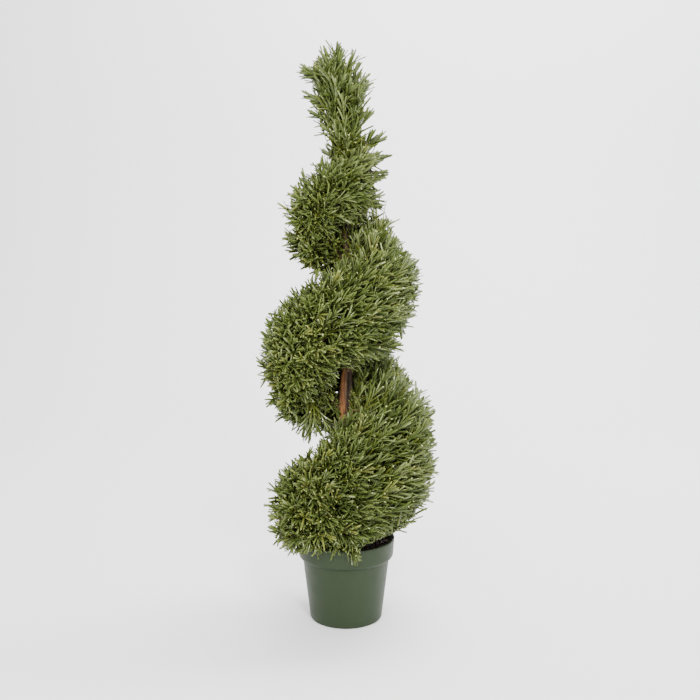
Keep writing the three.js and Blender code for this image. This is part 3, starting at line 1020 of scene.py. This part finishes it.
hiding = in_gap(feet + pointing * lengths[:, None])
print("sprays left out in gaps:", hiding.sum())

# %% Twigs to the sprays
known = wood.at[: wood.count]
nearness = np.array([np.linalg.norm(known - foot, axis=1).min() for foot in feet])
order = np.argsort(nearness)
for i in order[~hiding[order]]:
    source = wood.closest(feet[i], pointing[i])
    start = wood.at[source]
    length = np.linalg.norm(feet[i] - start)
    bend = feet[i] - pointing[i] * length * 0.4
    steps = 1 if length < 0.015 else 2 if length < 0.035 else 3
    wood.limb(source, curve(start, bend, feet[i], steps), TWIG)
print("after the twigs:", wood.count, "points")

# %% Thickness from what each point carries
count = wood.count
load = np.zeros(count)
carries = np.zeros(count, bool)
carries[wood.behind[:count][wood.behind[:count] >= 0]] = True
load[~carries] = 1
for i in range(count - 1, 0, -1):
    load[wood.behind[i]] += load[i]
twig_radius, thickest = 0.00085, 0.0042
thickness = np.minimum(twig_radius * load ** (1 / 2.6), thickest)
in_twigs = thickness[wood.kind[:count] == TWIG]
print("thickest limb:", round(float(in_twigs.max()) * 1000, 2), "mm radius")


# %% Skins over limbs
def tubes(paths, radii, sides):
    """Tapering closed tubes over many paths at once: paths (n, s, 3), radii (n, s)."""
    amount, stations = radii.shape
    forward = unit(np.gradient(paths, axis=1))
    helper = np.where(np.abs(forward[..., 2:3]) > 0.9, [[[1.0, 0, 0]]], [[[0, 0, 1.0]]])
    x = unit(np.cross(helper, forward))
    y = np.cross(forward, x)
    turn = np.arange(sides) / sides * 2 * math.pi
    ring = x[:, :, None] * np.cos(turn)[:, None] + y[:, :, None] * np.sin(turn)[:, None]
    rings = paths[:, :, None] + ring * radii[:, :, None, None]
    low, high = paths[:, :1], paths[:, -1:]
    points = np.concatenate([rings.reshape(amount, -1, 3), low, high], 1)
    triangles = []
    for s in range(stations - 1):
        for k in range(sides):
            a, b = s * sides + k, s * sides + (k + 1) % sides
            triangles += [(a, b, b + sides), (a, b + sides, a + sides)]
    last = (stations - 1) * sides
    for k in range(sides):
        triangles.append((stations * sides, (k + 1) % sides, k))
        triangles.append((stations * sides + 1, last + k, last + (k + 1) % sides))
    triangles = np.array(triangles)
    steps = np.arange(amount)[:, None, None] * points.shape[1]
    return points.reshape(-1, 3), (triangles[None] + steps).reshape(-1, 3)


# %% Boughs with bark
STATIONS, BOUGH_SIDES = 22, 12
lines, roots = [], []
for line, _ in bough_lines:
    t = np.linspace(0, len(line) - 1, STATIONS)
    whole = np.minimum(t.astype(int), len(line) - 2)
    lines.append(line[whole] + (line[whole + 1] - line[whole]) * (t - whole)[:, None])
    roots.append(0.0036 + 0.0016 * np.exp(-t * 1.4) - 0.0016 * t / 10)
paths, radii = np.stack(lines), np.stack(roots)
wave = 0.0012 * np.sin(np.arange(STATIONS) * 0.9)[None, :, None]
wavy = paths + wave * chance.normal(size=(len(paths), 1, 3))
points, triangles = tubes(wavy, radii, BOUGH_SIDES)
middles = np.repeat(wavy, BOUGH_SIDES, axis=1)
middles = np.concatenate([middles, paths[:, :1], paths[:, -1:]], 1).reshape(-1, 3)
rough = np.array([noise.noise(Vector(p) * 240) + 0.6 * noise.noise(Vector(p) * 90) for p in points])
points = middles + (points - middles) * (1 + 0.22 * rough)[:, None]
boughs = mesh_piece("boughs", points, triangles, [bark])
keep_attribute(boughs.data, "bare_wood", np.clip(rough - 0.4, 0, 0.3))
keep_attribute(boughs.data, "bark_height", np.clip(0.4 + rough, 0, 0.7))
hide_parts(*(f"bough_{k}" for k in range(1, 10)))
print("boughs:", len(triangles), "triangles")

# %% Twigs as thin tubes
THICK = 0.0018  # limbs from this radius up get six sides, the others three
child = np.flatnonzero(wood.kind[:count] == TWIG)
parent = wood.behind[child]
paths = np.stack([wood.at[parent], wood.at[child]], 1)
overlap = unit(paths[:, 1] - paths[:, 0]) * 0.0006
paths[:, 0] -= overlap
radii = np.stack([np.minimum(thickness[parent], thickness[child] * 1.35), thickness[child]], 1)
twig_parts = []
for sides, chosen in ((3, thickness[child] < THICK), (6, thickness[child] >= THICK)):
    twig_parts.append(tubes(paths[chosen], radii[chosen], sides))
print("twigs:", [len(tris) for _, tris in twig_parts], "triangles")

# %% [markdown]
# ## One leaf
# The leaves are like those of rosemary: narrow, blunt, about three and a half centimetres long,
# with a flat upper side and a keel below. A ring of three points is extruded along the leaf and
# merged to a point at both ends, eighteen triangles in all. Four leaves that bend differently
# are enough.


# %% Model the leaves
TRIANGLE_SIDE = 1.732  # of a triangle in a circle of radius 1; its height is 1.5
POINTED = 0.1  # the share of the length that is the pointed foot of the leaf


def model_leaf(length, width, keel, bend):
    """A leaf along +Z from the origin, its flat upper side towards -Y."""
    clear_selection()
    bpy.ops.mesh.primitive_circle_add(vertices=3, radius=1.0, location=(0, 0, 0))
    leaf = bpy.context.object
    edit(leaf)
    bpy.ops.mesh.select_all(action="SELECT")
    shape = (width / TRIANGLE_SIDE * 0.75, keel / 1.5, 1)
    bpy.ops.transform.resize(value=shape, center_override=(0, 0, 0))
    bpy.ops.transform.translate(value=(0, 0, length * POINTED))
    for step, drop, wider in ((0.42, 0.30, 1.33), (0.39, 0.50, 0.8), (0.09, 0.2, 0)):
        move = {"value": (0, bend * drop, length * step)}
        bpy.ops.mesh.extrude_edges_move(TRANSFORM_OT_translate=move)
        if wider:
            bpy.ops.transform.resize(value=(wider, 1, 1))
    bpy.ops.mesh.merge(type="CENTER")
    pick("verts", lambda middle: middle.z < length * 0.2)
    back = {"value": (0, 0, -length * POINTED)}
    bpy.ops.mesh.extrude_edges_move(TRANSFORM_OT_translate=back)
    bpy.ops.mesh.merge(type="CENTER")
    bpy.ops.mesh.select_all(action="SELECT")
    bpy.ops.mesh.normals_make_consistent(inside=False)
    bpy.ops.object.mode_set(mode="OBJECT")
    return read_shape(leaf)


leaves = [
    model_leaf(0.034, 0.0054, 0.0018, 0.0035),
    model_leaf(0.036, 0.0050, 0.0017, 0.0080),
    model_leaf(0.035, 0.0055, 0.0016, -0.0020),
    model_leaf(0.032, 0.0052, 0.0018, 0.0110),
]
for points, triangles in leaves:
    print("leaf:", len(points), "points,", len(triangles), "triangles")

# %% [markdown]
# ## One spray
# On a spray the leaves sit in opposite pairs, each pair turned nearly a quarter against the one
# below it. The lower leaves stand out widely and the upper ones close up round the tip, where
# three more leaves sit. A few long, short and narrow sprays are put together by that rule, and
# all the others are copies. Each triangle also gets a kind, which the colours go by: upper side
# or underside, a young leaf or an old one, which is mostly painted darker as shade, a glossy one,
# or the blunt end of a leaf, which is painted lighter as a highlight.


# %% Put sprays together
# Kinds: 0 and 1 are the upper side and underside of a leaf, 2 and 3 of a young one, 4 and 5 of an
# old one low on the spray, mostly painted darker as shade. 6 is a glossy leaf, 7 the end of a leaf,
# painted lighter as a highlight, 8 a pale end painted as a glint.
YOUNG, OLD_AND_SHADED, SHINY, HIGHLIGHT_END, GLINT_END = 2, 4, 6, 7, 8


def grow_spray(length, pairs, lean, widest=52, larger=1.0):
    """A spray along +Z with its foot at the origin: leaf mesh, kinds of its triangles, stem."""
    heights = np.append(np.repeat(np.linspace(0.04, 0.95, pairs), 2), [1, 1, 1])
    amount = len(heights)
    turn = np.repeat(np.arange(pairs) * math.radians(86), 2) + np.tile([0, math.pi], pairs)
    turn = np.append(turn, [0.4, 2.5, 4.6]) + chance.normal(size=amount) * 0.22
    open_angle = widest * (1 - 0.5 * heights) + chance.normal(size=amount) * 9
    open_angle[-3:] = chance.uniform(10, 28, 3)
    open_angle = np.radians(open_angle)
    size = larger * (1.0 - 0.12 * heights**2) * chance.uniform(0.80, 1.10, amount)
    size[-3:] *= 0.85
    spoke = np.stack([np.cos(turn), np.sin(turn), 0 * turn], -1)
    along = spoke * np.sin(open_angle)[:, None] + UP * np.cos(open_angle)[:, None]
    under = spoke * np.cos(open_angle)[:, None] - UP * np.sin(open_angle)[:, None]
    under += np.cross(along, under) * chance.normal(size=amount)[:, None] * 0.35
    bases = bases_along(along, np.cross(under, along)) * size[:, None, None]
    feet = np.stack([lean * heights**2, 0 * heights, heights * length], -1)
    young = (heights > 0.8) & (chance.uniform(size=amount) < 0.75)
    # Old leaves, low on the spray and deep inside it, take mostly darker finishes: partly because
    # they are older, partly as painted shade.
    age_and_shade = YOUNG * young + OLD_AND_SHADED * (heights < 0.5)
    shiny = chance.uniform(size=amount) < 0.10
    # A leaf in twenty gets a pale cream end: a painted glint.
    glint_tipped = chance.uniform(size=amount) < 0.05
    which = chance.integers(0, len(leaves), amount)
    parts, kinds = [], []
    for number, (points, triangles) in enumerate(leaves):
        mine = which == number
        parts.append(copies(points, triangles, bases[mine], feet[mine]))
        corners = points[triangles]
        face = unit(crossed(corners))
        below = (face[:, 1] > -0.3).astype(int)
        kind = np.where(shiny[mine][:, None], SHINY, below + age_and_shade[mine][:, None])
        # The blunt end of each leaf takes a lighter green as a painted highlight, or cream as a
        # painted glint.
        end = corners[:, :, 2].min(1) > 0.85 * points[:, 2].max()
        kind[:, end] = np.where(glint_tipped[mine], GLINT_END, HIGHLIGHT_END)[:, None]
        kinds.append(kind.ravel())
    t = np.linspace(0, 1, 4)
    path = np.stack([lean * t**2, 0 * t, t * length], -1)[None]
    stem = tubes(path, np.array([[0.0010, 0.0009, 0.0008, 0.0005]]), 3)
    return join(parts), np.concatenate(kinds), stem, length


long_sprays = [grow_spray(0.064, 7, chance.uniform(0, 0.009)) for _ in range(5)]
short_sprays = [grow_spray(0.041, 5, chance.uniform(0, 0.005)) for _ in range(3)]
plume_sprays = [grow_spray(0.060, 7, chance.uniform(0, 0.006), 33, 1.16) for _ in range(4)]
patterns = long_sprays + short_sprays + plume_sprays
for (points, triangles), _, _, length in patterns:
    print("spray", length, "m:", len(triangles), "triangles")

# %% [markdown]
# ## Leaf colours
# The plastic leaves come in a handful of greens. Each spray is dealt one of six tints. Nearly all
# the narrow ones then turn a step darker, those at the tip of the plant one more, and three in
# four of the narrow ones that end up darkest take a darker, duller green: all this is painted
# shade on the outside of the coil and in the plume. On a spray the young leaves, at its tip, are
# mostly lighter, and the old ones mostly darker, partly because they are older and partly as
# painted shade. The undersides are mostly paler and greyer, and a leaf in ten is glossy. The blunt
# ends of the leaves are painted lighter as highlights, and on a leaf in twenty pale cream as
# glints. The tints are plain colours, so that they stay crisp on leaves this small. Only the gloss
# changes from place to place, as it does on moulded leaves.

# %% Leaf finishes
TINTS = {
    "leaf_shaded": (76, 84, 28),
    "leaf_deep": (76, 88, 37),
    "leaf_green": (84, 98, 44),
    "leaf_fresh": (98, 112, 52),
    "leaf_olive": (116, 122, 54),
    # Only the ends of leaves take this straw green, as a painted highlight.
    "leaf_straw_highlight": (150, 158, 88),
    "underside": (94, 104, 58),
}


def leaf_finish(name, colour, roughness, shine, scale, spread, least):
    """A plain colour, how strongly it shines, and how its gloss changes."""
    finish = Finish(name, srgb(*colour), roughness, Specular_IOR_Level=shine)
    return finish.mottle(scale, spread, least)


finishes = [leaf_finish(*tint, 0.45, 0.24, 55.0, 0.36, 0.06) for tint in TINTS.items()]
finishes += [
    leaf_finish("leaf_glossy", (112, 124, 66), 0.2, 0.9, 80.0, 0.24, 0.06),
    # A pale cream for the ends of a few leaves: a painted glint.
    leaf_finish("leaf_tip_glint", (196, 200, 132), 0.3, 0.5, 80.0, 0.2, 0.2),
    leaf_finish("leaf_ochre", (98, 103, 44), 0.5, 0.5, 80.0, 0.3, 0.3),
    # A darker, duller green for the narrow sprays: painted shade.
    leaf_finish("leaf_dusky_shade", (64, 76, 31), 0.5, 0.24, 55.0, 0.3, 0.2),
]
print(len(finishes), "leaf finishes")

# %% Deal the tints
# The finishes by number, and for each tint a row with the finish of each kind of triangle.
shaded, deep, green, fresh, olive, straw_highlight, under, glossy, glint_tip, ochre, dusky_shade = range(11)
# In each row the finishes of old leaves are mostly darker, as painted shade, and the last two are
# painted highlights: the lighter end of a leaf and its pale glint.
FINISH_OF_KIND = np.array(
    [
        (deep, deep, green, under, shaded, shaded, glossy, green, glint_tip),
        (deep, under, green, under, shaded, shaded, glossy, fresh, glint_tip),
        (green, under, fresh, under, shaded, shaded, glossy, olive, glint_tip),
        (fresh, under, olive, under, deep, shaded, glossy, straw_highlight, glint_tip),
        (olive, under, olive, under, deep, deep, glossy, straw_highlight, glint_tip),
        (ochre, ochre, olive, under, ochre, shaded, glossy, straw_highlight, glint_tip),
        (dusky_shade, dusky_shade, dusky_shade, green, deep, deep, glossy, deep, glint_tip),
    ]
)
OCHRE_TINT, DUSKY_SHADE_TINT = 5, 6
tints = chance.choice(6, len(feet), p=(0.22, 0.32, 0.27, 0.12, 0.04, 0.03))
# Painted shade: the narrow sprays and those of the tip turn darker, and most of the darkest narrow
# ones take the darker, duller green.
painted_shade = narrow & (tints > 0) & (tints < OCHRE_TINT) & (chance.uniform(size=len(feet)) < 0.97)
tints[painted_shade] -= 1
tints[(owners == TIP) & (tints > 1) & (tints < OCHRE_TINT)] -= 1
tints[narrow & (tints == 0) & (np.arange(len(feet)) % 4 > 0)] = DUSKY_SHADE_TINT
print("sprays by tint:", np.bincount(tints))

# %% Turn and place every spray
variants = np.where(
    long_spray,
    chance.integers(0, len(long_sprays), len(feet)),
    len(long_sprays) + chance.integers(0, len(short_sprays), len(feet)),
)
plume_start = len(long_sprays) + len(short_sprays)
variants[narrow] = plume_start + chance.integers(0, len(plume_sprays), narrow.sum())
nominal = np.array([pattern[3] for pattern in patterns])[variants]
sideways = UP + chance.normal(size=feet.shape) * 0.6
sideways[hanging] = (out - 0.8 * UP)[hanging]
bases = bases_along(pointing, sideways)
spin = chance.uniform(-1.2, 1.2, len(feet))
turned = np.cos(spin)[:, None] * bases[:, 0] + np.sin(spin)[:, None] * bases[:, 1]
bases = bases_along(bases[:, 2], turned)
bases[:, 2] *= (lengths / nominal)[:, None]
print("sprays placed:", len(bases))

# %% [markdown]
# ## Leaves that are left out
# A copy knows nothing of what is round it: some leaves would run through the wall of the pot, and
# some would hide what should stay in view, the bare stem in the two grooves and the right of the
# rim. Moving them would bend them, so they are simply left out, as are those in the gaps and
# those that stand too far past the frame. What then still lies in the wall of the pot or in the
# filling, such as a twig, is moved beside or above it.


# %% Tests for leaves and twigs
MOUTH = 0.1812  # the height of the top of the rim
WALL_IN, WALL_MIDDLE, WALL_OUT = 0.0985, 0.1035, 0.1072
FURTHEST = (0.199, 0.194, 2)  # how far from the middle a leaf may stand, in x, y and z


def clear_of_pot(points):
    """Moves points out of the wall of the pot, and up out of the filling."""
    away = np.hypot(points[:, 0], points[:, 1])
    low = points[:, 2] < MOUTH
    target = away.copy()
    target[low & (away > WALL_IN) & (away <= WALL_MIDDLE)] = WALL_IN
    target[low & (away > WALL_MIDDLE) & (away < WALL_OUT)] = WALL_OUT
    points[:, :2] *= (target / np.maximum(away, 1e-6))[:, None]
    sunk = (target <= WALL_IN) & (points[:, 2] < FILL_TOP + 0.004)
    points[sunk, 2] = FILL_TOP + 0.004
    return points


def before_stem(places):
    """Tells which points hide the stem where it shows in the two grooves of the coil."""
    x, y, z = np.moveaxis(places, -1, 0)
    down = (0.545 - z - 0.18 * y) / 0.115  # grows from 0 at the top of the lower groove
    lower = (down > 0) & (down < 0.82) & (x > 0.003 * down - 0.012) & (x < 0.013 - 0.018 * down)
    upper = near(z, 0.835, 0.024) & near(x, 0.002, 0.001)
    return (y < 0) & (lower | upper)


def without_strays(points, triangles, slots):
    """Leaves out the leaves that pierce the pot's wall, hide something or stand out too far."""
    corners, faces = (len(part) for part in leaves[0])
    places = points.reshape(-1, corners, 3)
    away = np.hypot(places[..., 0], places[..., 1])
    low = places[..., 2] < MOUTH
    stray = (low & (away < WALL_MIDDLE)).any(1) & (away > WALL_MIDDLE).any(1)
    stray |= before_stem(places).any(1) | in_gap(places).any(1)
    stray |= (np.abs(places) > FURTHEST).any((1, 2))
    moved = corners * np.cumsum(stray)[~stray]
    triangles = triangles.reshape(-1, faces, 3)[~stray] - moved[:, None, None]
    kept = places[~stray].reshape(-1, 3)
    return kept, triangles.reshape(-1, 3), slots.reshape(-1, faces)[~stray].ravel()


print("leaf tests ready")

# %% Leaves as one piece for each mass
stems = []
total = 0
for number, name in enumerate(masses):
    parts, slots = [], []
    for variant, ((points, triangles), kinds, stem, _) in enumerate(patterns):
        mine = (owners == number) & (variants == variant) & ~hiding
        if mine.any():
            parts.append(copies(points, triangles, bases[mine], feet[mine]))
            slots.append(FINISH_OF_KIND[tints[mine]][:, kinds].ravel())
            stems.append(copies(*stem, bases[mine], feet[mine]))
    points, triangles, slots = without_strays(*join(parts), np.concatenate(slots))
    piece = mesh_piece(f"leaves_{name}", clear_of_pot(points), triangles, finishes, slots)
    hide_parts(name)
    total += len(triangles)
print("leaves:", total, "triangles")

# %% Twigs and spray stems as one piece
twig_wood = Finish("twig_wood", srgb(98, 84, 48), 0.8).mottle(120.0, 0.3, 0.6)
spray_stem = Finish("spray_stem", srgb(104, 104, 48), 0.6).mottle(120.0, 0.3, 0.4)
stem_part = join(stems)
points, triangles = join([*twig_parts, stem_part])
slots = np.zeros(len(triangles), int)
slots[-len(stem_part[1]) :] = 1
twigs = mesh_piece("twigs", clear_of_pot(points), triangles, [twig_wood, spray_stem], slots)
print("twigs and stems:", len(triangles), "triangles")

# %% [markdown]
# ## Closing
# The finished model should be as large as the frame, give or take what leaf tips stand proud.
# The frame's box is printed at the start, and at the end how far the model goes past it on each
# side.

# %% Write the sizes and finish
model_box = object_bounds()
for axis_name, low, high, cad_low, cad_high in zip("xyz", *model_box, *frame_box):
    print(axis_name, "past the frame by", round(cad_low - low, 4), "and", round(high - cad_high, 4))
